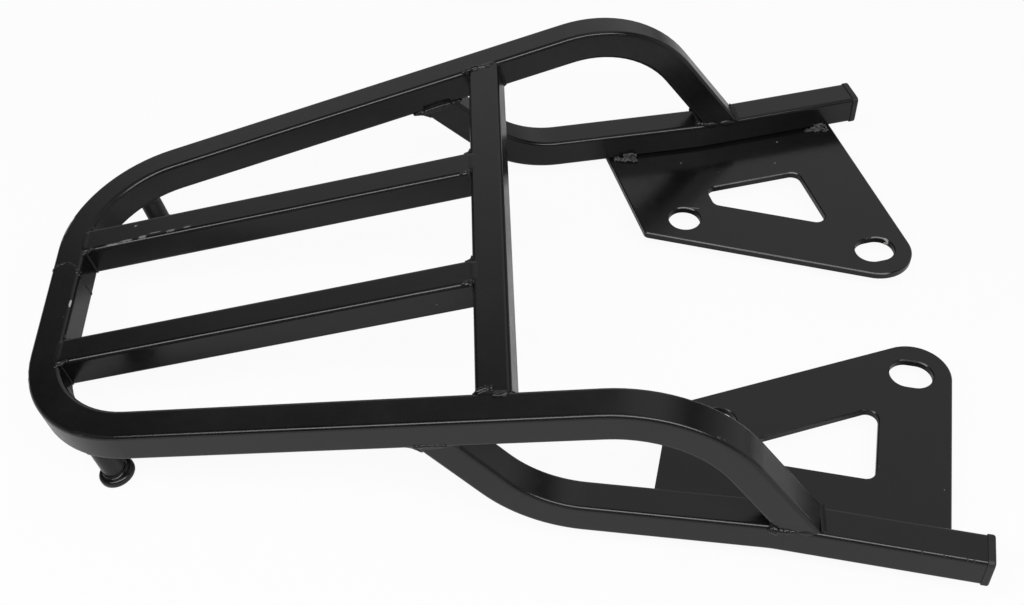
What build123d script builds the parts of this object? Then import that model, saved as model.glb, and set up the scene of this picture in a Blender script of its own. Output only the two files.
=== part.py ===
"""Motorcycle luggage rack: a bent square tube hoop with slats, welded to two side tubes on bolt-on plates.

Frame: +X forward, +Y left, +Z up. The mounting plates lie level, and Z = 0 is the lowest point of the rack,
at the heads of its two cord pegs. The deck rises towards the front. Millimetres and degrees.
The left-hand pieces are modelled and the right-hand ones are their mirror images.
"""

import os
from math import atan, cos, degrees, radians, sin, tan

from build123d import *

os.makedirs("parts", exist_ok=True)

# Square tube, the same stock throughout
tube = 16.0  # outside width
wall = 1.5
tube_corner = 2.0  # outside corner radius
bore = tube - 2 * wall
bore_corner = tube_corner - wall

# Deck: rear bar, arms, crossbar and slats share one tilted plane through their axes
deck_pitch = 13.5  # the front is the high end
rear_bar_x = -210.0  # rear bar axis, set so that the overall length is centred on X = 0
rear_bar_height = 17.5  # rear bar axis above the undersides of the plates
rear_half_span = 83.25  # arm axis from the centre line, where it would cross the rear bar axis
front_half_span = 134.0  # arm axis from the centre line, at the leg bend
arm_reach = 297.0  # rear bar axis to leg bend, along the deck
crossbar_reach = 215.0  # rear bar axis to crossbar axis, along the deck
slat_spacing = 76.0  # between slat axes
rear_bend = 55.0  # bend radii are on the tube axis
leg_bend = 58.0

# Side tubes, level, with a slight outward kink in plan and a rising rear end
kink_reach = 328.0  # rear bar axis to kink, level
kink_outset = 2.5  # kink outside the leg bend
kink_half_span = front_half_span + kink_outset
rear_heading = 8.8  # outward angle of each straight in plan
front_heading = 13.6
front_length = 89.5  # kink to open front end
rear_length = 105.0  # kink to brace bend
kink_bend = 80.0
brace_rise = 45.0  # angle of the rising end
brace_bend = 56.0
leg_offset = 10.0  # kink to leg foot, along the tube

# Mounting plates, laid out along the front straight of the side tube
plate_thickness = 4.0
plate_rear = 53.5  # kink back to the rear edge
plate_front = 77.8  # kink forward to the front edge
plate_inset = 4.0  # outer edge in from the outer face of the tube
plate_rear_depth = 65.5  # tube axis to the inner rear corner
plate_inner_angle = 30.3  # inner edge to the tube axis
plate_tip_radius = 19.0
plate_corner_radius = 3.0
plate_edge_break = 0.5
hole_diameter = 17.0
hole_from_rear_edge = 24.0
hole_from_tube_axis = 60.4
slot_width = 17.0
slot_length = 21.0
slot_from_front_edge = 19.4
slot_from_tube_axis = 109.4
window_tube_web = 32.5  # plate left beside the tube
window_inner_web = 32.0  # plate left beside the inner edge
window_rear_web = 43.5
window_front_web = 33.8
window_corner_radius = 5.0

# Cord pegs, square to the deck under the rear bends
peg_turn = 59.0  # place along the bend, from the rear bar
peg_length = 25.0  # deck underside to the end of the head
peg_diameter = 11.0
peg_head_diameter = 17.0
peg_head_thickness = 4.0
peg_root_fillet = 1.2
peg_head_fillet = 1.5

# End caps in the open front ends
cap_overhang = 0.6  # flange beyond the tube on each side
cap_flange = 3.5
cap_edge_fillet = 1.1
cap_back_fillet = 0.45
cap_plug_length = 14.0
cap_plug_wall = 1.6
cap_fin_count = 3
cap_fin_thickness = 1.2
cap_clearance = 0.15  # fin to bore, each side

# Weld beads
bead_height = 1.2  # weld metal standing proud of the tube faces
bead_hollow = 0.1  # dressed welds end this far under the deck's top
bead_leg = 3.0  # weld metal along each tube
bead_toe = 3.0  # weld metal ahead of and behind a slanted foot
bead_round = 1.1
seam_height = 0.6
seam_width = 5.0
seam_offset = 22.0  # hoop butt seam from the centre line
seam_skew = 12.0
tack_radius = 3.6  # half thickness at the middle of the tack
tack_length = 16.0
tack_sink = 0.6  # axis below the plate face and inside the tube face
tack_from_plate_end = 9.5
peg_bead = 2.2


# Height of the plates' undersides, which clears the lowest peg rim
arm_slope = (front_half_span - rear_half_span) / arm_reach
arm_flare = degrees(atan(arm_slope))
bend_centre_y = rear_half_span - rear_bend * tan(radians(90 - arm_flare) / 2)
peg_point = Vector(
    rear_bend * (1 - cos(radians(peg_turn))), bend_centre_y + rear_bend * sin(radians(peg_turn)), 0
)
peg_root_height = (
    rear_bar_height + peg_point.X * sin(radians(deck_pitch)) - tube / 2 * cos(radians(deck_pitch))
)
peg_rim = (peg_head_diameter / 2 - peg_head_fillet) * sin(radians(deck_pitch)) + peg_head_fillet
peg_reach = (peg_length - peg_head_fillet) * cos(radians(deck_pitch)) + peg_rim
seat_height = max(peg_reach - peg_root_height, 0)

# Derived planes and points
deck = Plane(
    origin=(rear_bar_x, 0, seat_height + rear_bar_height),
    x_dir=(cos(radians(deck_pitch)), 0, sin(radians(deck_pitch))),
    z_dir=(-sin(radians(deck_pitch)), 0, cos(radians(deck_pitch))),
)
deck_underside = deck.offset(-tube / 2)
tube_axis_height = seat_height + plate_thickness + tube / 2
up = Vector(0, 0, 1)

front_dir = Vector(1, 0, 0).rotate(Axis.Z, front_heading)
rear_dir = Vector(1, 0, 0).rotate(Axis.Z, rear_heading)
kink = Vector(rear_bar_x + kink_reach, kink_half_span, tube_axis_height)
front_end = kink + front_dir * front_length
brace_point = kink - rear_dir * rear_length
rise_dir = up * sin(radians(brace_rise)) - rear_dir * cos(radians(brace_rise))
brace_run = (arm_reach * sin(radians(deck_pitch)) + rear_bar_height) / sin(radians(brace_rise))
brace_end = brace_point + rise_dir * brace_run

rear_centre = deck.from_local_coords(Vector(0, 0, 0))
rear_corner = deck.from_local_coords(Vector(0, rear_half_span, 0))
leg_point = deck.from_local_coords(Vector(arm_reach, front_half_span, 0))
leg_foot = kink + front_dir * leg_offset + up * (tube / 2)
leg_dir = (leg_foot - leg_point).normalized()
leg_end = leg_foot + leg_dir * tube

arm_dir = (leg_point - rear_corner).normalized()
arm_inward = arm_dir.cross(deck.z_dir)
crossbar_half_span = rear_half_span + arm_slope * crossbar_reach
arm_inner_face = Plane(
    origin=deck.from_local_coords(Vector(crossbar_reach, crossbar_half_span, 0)) + arm_inward * (tube / 2),
    x_dir=arm_dir,
    z_dir=arm_inward,
)

rear_section = Plane(origin=rear_centre, x_dir=deck.x_dir, z_dir=(0, 1, 0))
front_section = Plane(origin=front_end, x_dir=front_dir.cross(up), z_dir=front_dir * -1)
crossbar_section = Plane(
    origin=deck.from_local_coords(Vector(crossbar_reach, 0, 0)), x_dir=deck.x_dir, z_dir=(0, 1, 0)
)
slat_section = Plane(
    origin=deck.from_local_coords(Vector(0, slat_spacing / 2, 0)), x_dir=(0, 1, 0), z_dir=deck.x_dir
)
slat_length = crossbar_reach - tube / 2
plate_plane = Plane(origin=(kink.X, kink.Y, seat_height), x_dir=front_dir, z_dir=up)
plate_top = Plane.XY.offset(seat_height + plate_thickness)

plate_front_depth = plate_rear_depth + (plate_front + plate_rear) * tan(radians(plate_inner_angle))
window_outer = tube / 2 + window_tube_web
window_rear = window_rear_web - plate_rear
window_front = plate_front - window_front_web
window_inner_drop = window_inner_web / cos(radians(plate_inner_angle))
window_rear_width = (
    plate_rear_depth + window_rear_web * tan(radians(plate_inner_angle)) - window_inner_drop - window_outer
)
window_front_width = window_rear_width + (window_front - window_rear) * tan(radians(plate_inner_angle))

peg_root = deck_underside.from_local_coords(peg_point)
peg_plane = Plane(origin=peg_root, x_dir=deck.x_dir, z_dir=deck.z_dir * -1)

cap_plane = Plane(origin=front_end, x_dir=front_dir.cross(up), z_dir=front_dir)
cap_axis = Axis(front_end, front_dir)
cap_size = tube + 2 * cap_overhang
cap_fin = bore - 2 * cap_clearance
cap_plug = cap_fin - 2 * cap_fin_thickness

bead_size = tube + 2 * bead_height
dressed_top = deck.offset(tube / 2 - bead_hollow)
crossbar_cut = tube / cos(radians(arm_flare))
foot_plane = Plane(origin=leg_foot, x_dir=front_dir, z_dir=up)
foot_length = tube / -leg_dir.Z
brace_slope = rise_dir.dot(deck.z_dir)
brace_top = brace_point + rise_dir * ((deck_underside.origin - brace_point).dot(deck.z_dir) / brace_slope)
brace_plane = Plane(origin=brace_top, x_dir=arm_dir, z_dir=deck.z_dir)
brace_cut = tube / brace_slope
tack_in = tube / 2 - tack_sink
tack_down = up * (tube / 2 + tack_sink)
front_tack_run = plate_front - tack_from_plate_end
rear_tack_run = plate_rear - tack_from_plate_end
front_tack = kink + front_dir * front_tack_run + front_dir.cross(up) * tack_in - tack_down
rear_tack = kink - rear_dir * rear_tack_run + rear_dir.cross(up) * tack_in - tack_down
front_tack_plane = Plane(origin=front_tack, x_dir=front_dir, z_dir=front_dir.cross(up))
rear_tack_plane = Plane(origin=rear_tack, x_dir=rear_dir, z_dir=rear_dir.cross(up))
seam_plane = Plane(
    origin=deck.from_local_coords(Vector(0, seam_offset, 0)), x_dir=deck.x_dir, z_dir=(0, 1, 0)
)
seam_cut = Plane(
    origin=seam_plane.origin,
    x_dir=deck.z_dir,
    z_dir=Vector(0, 1, 0) * cos(radians(seam_skew)) + deck.x_dir * sin(radians(seam_skew)),
)


# Main hoop: one half is swept from the middle of the rear bar to the leg foot, then mirrored
with BuildLine() as hoop_path:
    FilletPolyline(rear_centre, rear_corner, leg_point, leg_end, radius=[rear_bend, leg_bend])

with BuildPart() as hoop_half:
    with BuildSketch(rear_section):
        RectangleRounded(tube, tube, tube_corner)
    sweep(path=hoop_path.line)
    with Locations(leg_foot):
        Box(4 * tube, 2 * tube, 2 * tube, align=(Align.CENTER, Align.CENTER, Align.MAX), mode=Mode.SUBTRACT)

with BuildPart() as main_hoop:
    add(hoop_half.part)
    with BuildSketch(rear_section):
        RectangleRounded(bore, bore, bore_corner)
    sweep(path=hoop_path.line, mode=Mode.SUBTRACT)
    mirror(about=Plane.XZ)

# Crossbar, mitred to the inner faces of the arms
with BuildPart() as crossbar_half:
    with BuildSketch(crossbar_section):
        RectangleRounded(tube, tube, tube_corner)
    extrude(amount=crossbar_half_span)
    split(bisect_by=arm_inner_face, keep=Keep.TOP)

with BuildPart() as crossbar:
    add(crossbar_half.part)
    with BuildSketch(crossbar_section):
        RectangleRounded(bore, bore, bore_corner)
    extrude(amount=crossbar_half_span, mode=Mode.SUBTRACT)
    mirror(about=Plane.XZ)

# Slats between the rear bar and the crossbar, coped to the rear bar and to the bend where they reach it
with BuildPart() as slat_solid:
    with BuildSketch(slat_section):
        RectangleRounded(tube, tube, tube_corner)
    extrude(amount=slat_length)

with BuildPart() as slat_left:
    add(slat_solid.part)
    with BuildSketch(slat_section):
        RectangleRounded(bore, bore, bore_corner)
    extrude(amount=slat_length, mode=Mode.SUBTRACT)
    add(hoop_half.part, mode=Mode.SUBTRACT)

# Side tubes, cut off flush against the underside of the arms
with BuildLine() as side_path:
    FilletPolyline(front_end, kink, brace_point, brace_end, radius=[kink_bend, brace_bend])

with BuildPart() as side_solid:
    with BuildSketch(front_section):
        RectangleRounded(tube, tube, tube_corner)
    sweep(path=side_path.line)
    split(bisect_by=deck_underside, keep=Keep.BOTTOM)

with BuildPart() as side_tube_left:
    add(side_solid.part)
    with BuildSketch(front_section):
        RectangleRounded(bore, bore, bore_corner)
    sweep(path=side_path.line, mode=Mode.SUBTRACT)

# Mounting plates with a bolt hole, an adjusting slot and a lightening window
with BuildPart() as mount_plate_left:
    with BuildSketch(plate_plane) as outline:
        with BuildLine():
            Polyline(
                (-plate_rear, tube / 2 - plate_inset),
                (-plate_rear, -plate_rear_depth),
                (plate_front, -plate_front_depth),
                (plate_front, tube / 2 - plate_inset),
                close=True,
            )
        make_face()
        fillet(outline.vertices().sort_by(Axis.Y)[1], plate_corner_radius)
        fillet(outline.vertices().sort_by(Axis.Y)[0], plate_tip_radius)
        with Locations((hole_from_rear_edge - plate_rear, -hole_from_tube_axis)):
            Circle(hole_diameter / 2, mode=Mode.SUBTRACT)
        with Locations((plate_front - slot_from_front_edge, -slot_from_tube_axis)):
            SlotOverall(slot_length, slot_width, mode=Mode.SUBTRACT)
    extrude(amount=plate_thickness)
    with BuildSketch(plate_plane) as window:
        with BuildLine():
            Polyline(
                (window_rear, -window_outer),
                (window_front, -window_outer),
                (window_front, -window_outer - window_front_width),
                (window_rear, -window_outer - window_rear_width),
                close=True,
            )
        make_face()
        fillet(window.vertices(), window_corner_radius)
    extrude(amount=plate_thickness, mode=Mode.SUBTRACT)
    chamfer(mount_plate_left.edges().filter_by(Plane.XY), plate_edge_break)

# Cord pegs: a post with a rounded head
with BuildPart() as cord_peg_left:
    with BuildSketch(peg_plane):
        Circle(peg_diameter / 2)
    extrude(amount=peg_length)
    with BuildSketch(peg_plane.offset(peg_length - peg_head_thickness)):
        Circle(peg_head_diameter / 2)
    extrude(amount=peg_head_thickness)
    rims = cord_peg_left.edges().filter_by(GeomType.CIRCLE).sort_by(SortBy.RADIUS)
    fillet(rims[-2:], peg_head_fillet)
    fillet(rims[:2].sort_by(Axis.Z)[0], peg_root_fillet)

# End caps: a flange over the tube wall and a finned hollow plug in the bore
with BuildPart() as end_cap_left:
    with BuildSketch(cap_plane):
        RectangleRounded(cap_size, cap_size, tube_corner + cap_overhang)
    extrude(amount=cap_flange)
    fillet(end_cap_left.faces().filter_by(cap_plane).sort_by(cap_axis)[-1].edges(), cap_edge_fillet)
    fillet(end_cap_left.faces().filter_by(cap_plane).sort_by(cap_axis)[0].edges(), cap_back_fillet)
    with BuildSketch(cap_plane):
        RectangleRounded(cap_plug, cap_plug, bore_corner)
    extrude(amount=-cap_plug_length)
    for fin in range(cap_fin_count):
        with BuildSketch(cap_plane.offset(-(fin + 1) * cap_plug_length / (cap_fin_count + 0.5))):
            RectangleRounded(cap_fin, cap_fin, bore_corner)
        extrude(amount=cap_fin_thickness)
    with BuildSketch(cap_plane):
        RectangleRounded(cap_plug - 2 * cap_plug_wall, cap_plug - 2 * cap_plug_wall, bore_corner)
    extrude(amount=-cap_plug_length, mode=Mode.SUBTRACT)

# Weld collars: a rounded band of weld metal round each joint, dressed on top, less what lies beside it
with BuildPart() as weld_crossbar_left:
    with BuildSketch(arm_inner_face):
        RectangleRounded(crossbar_cut + 2 * bead_height, bead_size, tube_corner + bead_height)
    extrude(amount=bead_leg, both=True)
    fillet(weld_crossbar_left.edges().filter_by(arm_inner_face), bead_round)
    split(bisect_by=dressed_top, keep=Keep.BOTTOM)
    add(hoop_half.part, mode=Mode.SUBTRACT)
    add(crossbar_half.part, mode=Mode.SUBTRACT)
    add(side_solid.part, mode=Mode.SUBTRACT)

with BuildPart() as weld_slat_front_left:
    with BuildSketch(slat_section.offset(slat_length)):
        RectangleRounded(bead_size, bead_size, tube_corner + bead_height)
    extrude(amount=bead_leg, both=True)
    fillet(weld_slat_front_left.edges().filter_by(slat_section), bead_round)
    split(bisect_by=dressed_top, keep=Keep.BOTTOM)
    add(crossbar_half.part, mode=Mode.SUBTRACT)
    add(slat_solid.part, mode=Mode.SUBTRACT)

with BuildPart() as weld_slat_rear_left:
    with BuildSketch(slat_section.offset(tube / 2)):
        RectangleRounded(bead_size, bead_size, tube_corner + bead_height)
    extrude(amount=bead_leg, both=True)
    fillet(weld_slat_rear_left.edges().filter_by(slat_section), bead_round)
    split(bisect_by=dressed_top, keep=Keep.BOTTOM)
    add(hoop_half.part, mode=Mode.SUBTRACT)
    add(slat_solid.part, mode=Mode.SUBTRACT)

with BuildPart() as weld_leg_left:
    with BuildSketch(foot_plane):
        RectangleRounded(foot_length + 2 * bead_toe, bead_size, tube_corner + bead_height)
    extrude(amount=bead_leg, both=True)
    fillet(weld_leg_left.edges().filter_by(foot_plane), bead_round)
    add(hoop_half.part, mode=Mode.SUBTRACT)
    add(side_solid.part, mode=Mode.SUBTRACT)

with BuildPart() as weld_brace_left:
    with BuildSketch(brace_plane):
        RectangleRounded(brace_cut + 2 * bead_toe, bead_size, tube_corner + bead_height)
    extrude(amount=bead_leg, both=True)
    fillet(weld_brace_left.edges().filter_by(brace_plane), bead_round)
    add(hoop_half.part, mode=Mode.SUBTRACT)
    add(side_solid.part, mode=Mode.SUBTRACT)
    add(crossbar_half.part, mode=Mode.SUBTRACT)
    add(weld_crossbar_left.part, mode=Mode.SUBTRACT)

# Peg weld: a ring round the post, let into the rounded edges of the hoop
with BuildPart() as weld_peg_left:
    with BuildSketch(peg_plane):
        Circle(peg_diameter / 2 + peg_bead)
    extrude(amount=peg_bead, both=True)
    fillet(weld_peg_left.edges().filter_by(peg_plane), peg_bead / 2)
    add(hoop_half.part, mode=Mode.SUBTRACT)
    add(cord_peg_left.part, mode=Mode.SUBTRACT)

# Plate tacks: spindle-shaped beads in the corner between the side tube and the plate
with BuildPart() as weld_plate_front_left:
    with BuildSketch(front_tack_plane):
        with BuildLine():
            ThreePointArc((-tack_length / 2, 0), (0, tack_radius), (tack_length / 2, 0))
            Line((tack_length / 2, 0), (-tack_length / 2, 0))
        make_face()
    revolve(axis=Axis(front_tack, front_dir))
    split(bisect_by=front_tack_plane, keep=Keep.TOP)
    split(bisect_by=plate_top, keep=Keep.TOP)
    add(side_solid.part, mode=Mode.SUBTRACT)

with BuildPart() as weld_plate_rear_left:
    with BuildSketch(rear_tack_plane):
        with BuildLine():
            ThreePointArc((-tack_length / 2, 0), (0, tack_radius), (tack_length / 2, 0))
            Line((tack_length / 2, 0), (-tack_length / 2, 0))
        make_face()
    revolve(axis=Axis(rear_tack, rear_dir))
    split(bisect_by=rear_tack_plane, keep=Keep.TOP)
    split(bisect_by=plate_top, keep=Keep.TOP)
    add(side_solid.part, mode=Mode.SUBTRACT)

# Butt seam that closes the hoop, a slanted band round the rear bar
with BuildPart() as weld_hoop_seam:
    with BuildSketch(seam_plane):
        RectangleRounded(tube + 2 * seam_height, tube + 2 * seam_height, tube_corner + seam_height)
    extrude(amount=seam_width + tube * tan(radians(seam_skew)), both=True)
    split(bisect_by=seam_cut.offset(-seam_width / 2), keep=Keep.TOP)
    split(bisect_by=seam_cut.offset(seam_width / 2), keep=Keep.BOTTOM)
    add(hoop_half.part, mode=Mode.SUBTRACT)

# Export: the single pieces, then each left-hand piece with its mirror image
single_parts = {"main_hoop": main_hoop, "crossbar": crossbar, "weld_hoop_seam": weld_hoop_seam}
paired_parts = {
    "slat": slat_left,
    "side_tube": side_tube_left,
    "mount_plate": mount_plate_left,
    "cord_peg": cord_peg_left,
    "end_cap": end_cap_left,
    "weld_crossbar": weld_crossbar_left,
    "weld_slat_front": weld_slat_front_left,
    "weld_slat_rear": weld_slat_rear_left,
    "weld_leg": weld_leg_left,
    "weld_brace": weld_brace_left,
    "weld_peg": weld_peg_left,
    "weld_plate_front": weld_plate_front_left,
    "weld_plate_rear": weld_plate_rear_left,
}

for name, piece in single_parts.items():
    piece.part.label = name
    export_step(piece.part, f"parts/{name}.step")

for name, left in paired_parts.items():
    with BuildPart() as right:
        mirror(left.part, about=Plane.XZ)
    left.part.label = f"{name}_left"
    right.part.label = f"{name}_right"
    export_step(left.part, f"parts/{name}_left.step")
    export_step(right.part, f"parts/{name}_right.step")
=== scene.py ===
"""Looks of a welded motorcycle luggage rack: black paint, weld beads, plastic caps and a white studio stage.

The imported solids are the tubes, plates, pegs and caps, and keep their shape. Their plain weld collars are
replaced by beads laid drop by drop in the same joints. Metres, +X forward, +Y left, +Z up.
"""

import math
import random

import bpy
from bpy.props import FloatProperty, FloatVectorProperty, IntProperty, PointerProperty
from bpy.types import Operator, Panel, PropertyGroup
from mathutils import Matrix, Vector


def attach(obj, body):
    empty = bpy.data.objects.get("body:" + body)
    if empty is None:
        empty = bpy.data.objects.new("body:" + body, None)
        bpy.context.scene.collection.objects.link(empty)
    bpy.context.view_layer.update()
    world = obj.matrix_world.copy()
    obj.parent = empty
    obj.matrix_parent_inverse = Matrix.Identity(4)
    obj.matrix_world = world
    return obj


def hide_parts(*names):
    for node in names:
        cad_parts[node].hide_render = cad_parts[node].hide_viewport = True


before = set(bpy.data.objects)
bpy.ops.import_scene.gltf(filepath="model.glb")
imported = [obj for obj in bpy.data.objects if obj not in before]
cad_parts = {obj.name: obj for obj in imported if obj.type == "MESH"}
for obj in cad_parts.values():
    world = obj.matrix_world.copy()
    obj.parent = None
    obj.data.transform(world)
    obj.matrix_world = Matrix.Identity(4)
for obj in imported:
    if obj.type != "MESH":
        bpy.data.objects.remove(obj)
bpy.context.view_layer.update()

bl_info = {
    "name": "Luggage Rack Finish",
    "version": (1, 0, 0),
    "blender": (4, 5, 0),
    "location": "View3D > Sidebar > Rack",
    "description": "Paint, weld beads, caps and a studio stage for a welded luggage rack",
    "category": "Object",
}

# Sizes of the part that the beads are laid on
TUBE = 0.016
HALF = TUBE / 2
EDGE = 0.002
SEAT = 0.0100371
DECK_PITCH = math.radians(13.5)
REAR_BAR = Vector((-0.210, 0, SEAT + 0.0175))
REAR_HALF_SPAN = 0.08325
FRONT_HALF_SPAN = 0.134
ARM_REACH = 0.297
CROSSBAR_REACH = 0.215
SLAT_OFFSET = 0.038
REAR_BEND = 0.055
PEG_TURN = math.radians(59)
PEG_RADIUS = 0.0055
KINK = Vector((0.118, 0.1365, SEAT + 0.012))
FRONT_HEADING = math.radians(13.6)
REAR_HEADING = math.radians(8.8)
REAR_LENGTH = 0.105
BRACE_RISE = math.radians(45)
LEG_OFFSET = 0.010
PLATE_TOP = SEAT + 0.004

UP = Vector((0, 0, 1))
DECK_X = Vector((math.cos(DECK_PITCH), 0, math.sin(DECK_PITCH)))
DECK_Y = Vector((0, 1, 0))
DECK_Z = Vector((-math.sin(DECK_PITCH), 0, math.cos(DECK_PITCH)))
ARM_SLOPE = (FRONT_HALF_SPAN - REAR_HALF_SPAN) / ARM_REACH
ARM_FLARE = math.atan(ARM_SLOPE)
BEND_START = REAR_HALF_SPAN - REAR_BEND * math.tan((math.pi / 2 - ARM_FLARE) / 2)
ARM_DIR = DECK_X * math.cos(ARM_FLARE) + DECK_Y * math.sin(ARM_FLARE)
FRONT_DIR = Vector((math.cos(FRONT_HEADING), math.sin(FRONT_HEADING), 0))
REAR_DIR = Vector((math.cos(REAR_HEADING), math.sin(REAR_HEADING), 0))

SIDES = {"left": 1, "right": -1}

# Webs in inside corners: how deep they sink, shares of a web's leg, and how far they stop short of an edge
WEB_SINK = 0.0003
WEB_CORE = 0.55
WEB_FEATHER_FOOT = 0.15
WEB_FEATHER_WIDTH = 0.28
WEB_INSET = 0.0004
LEG_WEB_INSET = 0.0003
# Leg of each web as a share of the bead; 1 and -1 stand for the front and the rear of a leg or brace
SLAT_FAR_WEB = 1.4
SLAT_NEAR_WEBS = {"front": 0.6, "rear": 0.36}
CROSSBAR_WEB = 0.6
LEG_WEBS = ((1, 0.8), (-1, 1.2))
BRACE_WEBS = ((1, 1.2), (-1, 2.4))
TACK_WEB = 1.3
# Low beads over flush joints. A lens is given by its width, height, depth, unevenness and taper
FLAT_OVERLAP = 4.0
FLAT_WANDER = 0.4
PAD_WIDTH = EDGE * 1.9
PAD_DEPTH = 0.0022
PAD_UNEVEN = 0.04
LEG_LENS = (0.0026, 0.0008, 0.0022, 0.04, 0.6)
BRACE_LENS = (0.0026, 0.0010, 0.0024, 0.03, 0.6)
# Raised ripples along a line: width, height, step and, where it isn't the plain one, unevenness
ROPE_OVERLAP = 1.1
CURL_ROPE = (0.0009, 0.0005, 0.0009)
RIDGE_ROPE = (0.0011, 0.0011, 0.0010, 0.4)
LEG_ROPE = (0.0019, 0.0011, 0.0012, 0.4)
BRACE_ROPE = (0.0010, 0.0017, 0.0008, 0.1)
SCAR_ROPE = (0.0009, 0.0004, 0.0009)
BURR_ROPE = (0.0007, 0.0006, 0.0006)
# Single lumps: spread of their sizes, spread of their lengths, and height
LUMP_SIZES = (0.75, 1.25)
LUMP_LENGTHS = (0.9, 1.5)
LUMP_HEIGHT = 0.9
# Bead along the side of a leg's foot: its level, its start behind the foot, where rope and lens meet, lumps
LEG_LINE_DROP = 0.0006
LEG_OVERRUN = 0.002
LEG_ROPE_END = 0.2
LEG_LENS_START = 0.3
LEG_LUMP = 0.0017
LEG_LUMP_IN = 0.0008
LEG_LUMP_UP = 0.0004
LEG_LUMP_STEP = 0.0022
LEG_ROUGH = 0.0002
# Bead along the side of a brace's top: its level, how far it runs on at either end, and the ridge over it
BRACE_LINE_LIFT = 0.0002
BRACE_REAR_OVERRUN = 0.003
BRACE_FRONT_OVERRUN = 0.001
BRACE_RIDGE_LIFT = 0.0012
BRACE_RIDGE_BOW = 0.0004
BRACE_RIDGE_REAR = 0.9
BRACE_RIDGE_FRONT = 0.6
# Ring of weld round a peg: size of a drop, spread of sizes, how far out it sits and its length in ripples
PEG_BEAD = 0.0017
PEG_SIZES = (0.85, 1.15)
PEG_BEAD_OUT = 0.0002
PEG_OVERLAP = 1.6
# Tacks: place from the kink, span of the web, then the shards over it, which grow from the rear to the front
TACK_PLACES = {"front": (0.0683, FRONT_DIR), "rear": (-0.0440, REAR_DIR)}
TACK_REAR = 0.0010
TACK_FRONT = 0.0052
TACK_SHARDS = 46
TACK_LENGTH = 0.0122
TACK_START_SIZE = 0.40
TACK_GROWTH = 0.80
TACK_REACH = (0.0002, 0.0042)
TACK_HEIGHT = 0.0050
TACK_SLOPE = 0.40
TACK_JITTER = (-0.0002, 0.0005)
TACK_LEAN = 1.2
TACK_FACING = (0.1, 0.9)
TACK_RADII = ((0.0008, 0.0018), (0.0003, 0.0006), (0.0005, 0.0009))
TACK_ROUGH = 0.0005
TACK_SETTLED = 1
# Seam of the hoop: its drops, its bow across the rear bar, and the lump at its end
SEAM_STEP = 0.0007
SEAM_SIZE = 0.00075
SEAM_SIZES = (0.8, 1.2)
SEAM_OVERLAP = 1.5
SEAM_SINK = 0.00045
SEAM_WANDER = 0.0003
SEAM_BOW = (0.02376, -0.4265, -102.6)
SEAM_LUMP_ALONG = 0.0068
SEAM_LUMP_LEVEL = 0.0072
SEAM_LUMP = 0.0012
# Faces of a drop of weld before the drops are fused
DROP_SEGMENTS = 14
DROP_RINGS = 8

# Chip in the paint of the rear bar: place along, across and above the deck, half sizes, grain and share worn
CHIP_PLACE = (0.0069, -0.0061, 0.0078)
CHIP_REACH = (0.0009, 0.0044, 0.0011)
CHIP_GRAIN = 2.6
CHIP_FILL = 0.80
# Scuffs on the left slat: grain, half depth and how far their middles lie under the top
SCUFF_GRAIN = 9.0
SCUFF_DEPTH = 0.0014
SCUFF_SINK = 0.0003
# Their places along and across the deck, half lengths, half widths and shares worn
SLAT_SCUFFS = (
    (0.0230, 0.0312, 0.0100, 0.0012, 0.58), (0.0300, 0.0317, 0.0085, 0.0017, 0.60),
    (0.0385, 0.0320, 0.0050, 0.0022, 0.66), (0.0450, 0.0334, 0.0085, 0.0009, 0.60),
    (0.0535, 0.0324, 0.0065, 0.0022, 0.58), (0.0620, 0.0327, 0.0055, 0.0016, 0.58),
    (0.0335, 0.0415, 0.0014, 0.0011, 0.90),
)
# Marks on the left plate: grain, half depth and share worn
MARK_GRAIN = 3.0
MARK_DEPTH = 0.001
MARK_FILL = 0.66
# Their places, turns, half lengths and half widths
PLATE_MARKS = (
    (0.1067, 0.1165, 0.0, 0.0011, 0.0009), (0.1630, 0.1332, 0.0, 0.0013, 0.0011),
    (0.1590, 0.1149, 0.0, 0.0012, 0.0008), (0.1100, 0.0788, -0.16, 0.0062, 0.0005),
)
# Ridges on the ends of the crossbar, by places along and across the deck
CROSSBAR_RIDGES = {
    "left": (((0.2040, 0.1104), (0.2073, 0.1114), (0.2111, 0.1124), (0.2148, 0.1122), (0.2185, 0.1118)),),
    "right": (
        ((0.2080, 0.1106), (0.2115, 0.1094), (0.2150, 0.1098)),
        ((0.2150, 0.1138), (0.2182, 0.1150), (0.2212, 0.1138)),
    ),
}
# Curls of weld on a slat's near corners, by steps along the deck from the joint and in from the near edge
SLAT_CURLS = {
    "front": ((-0.0050, 0.0008), (-0.0024, 0.0024), (-0.0004, 0.0016), (-0.0010, -0.0006)),
    "rear": ((-0.0012, -0.0024), (0.0002, -0.0008), (0.0018, -0.0010), (0.0030, 0.0010), (0.0050, 0.0004)),
}
# Scar in the paint of the right bend, by points on the left bend that are mirrored, and how far it leans out
BEND_SCAR = ((0.0860, 0.1411, 0.0886), (0.0887, 0.1413, 0.0872), (0.0914, 0.1411, 0.0855))
SCAR_LEAN = 0.2
# How far a tube's rounded edge lies inside the corner of its sides
EDGE_CUT = EDGE * 0.32
# Lumps in the paint along the right tube's upper edge, by distance from the kink and size
EDGE_LUMPS = (
    (0.0625, 0.00055), (0.0700, 0.0004), (0.0716, 0.00075),
    (0.0733, 0.0006), (0.0812, 0.0006), (0.0840, 0.0007),
)
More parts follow.
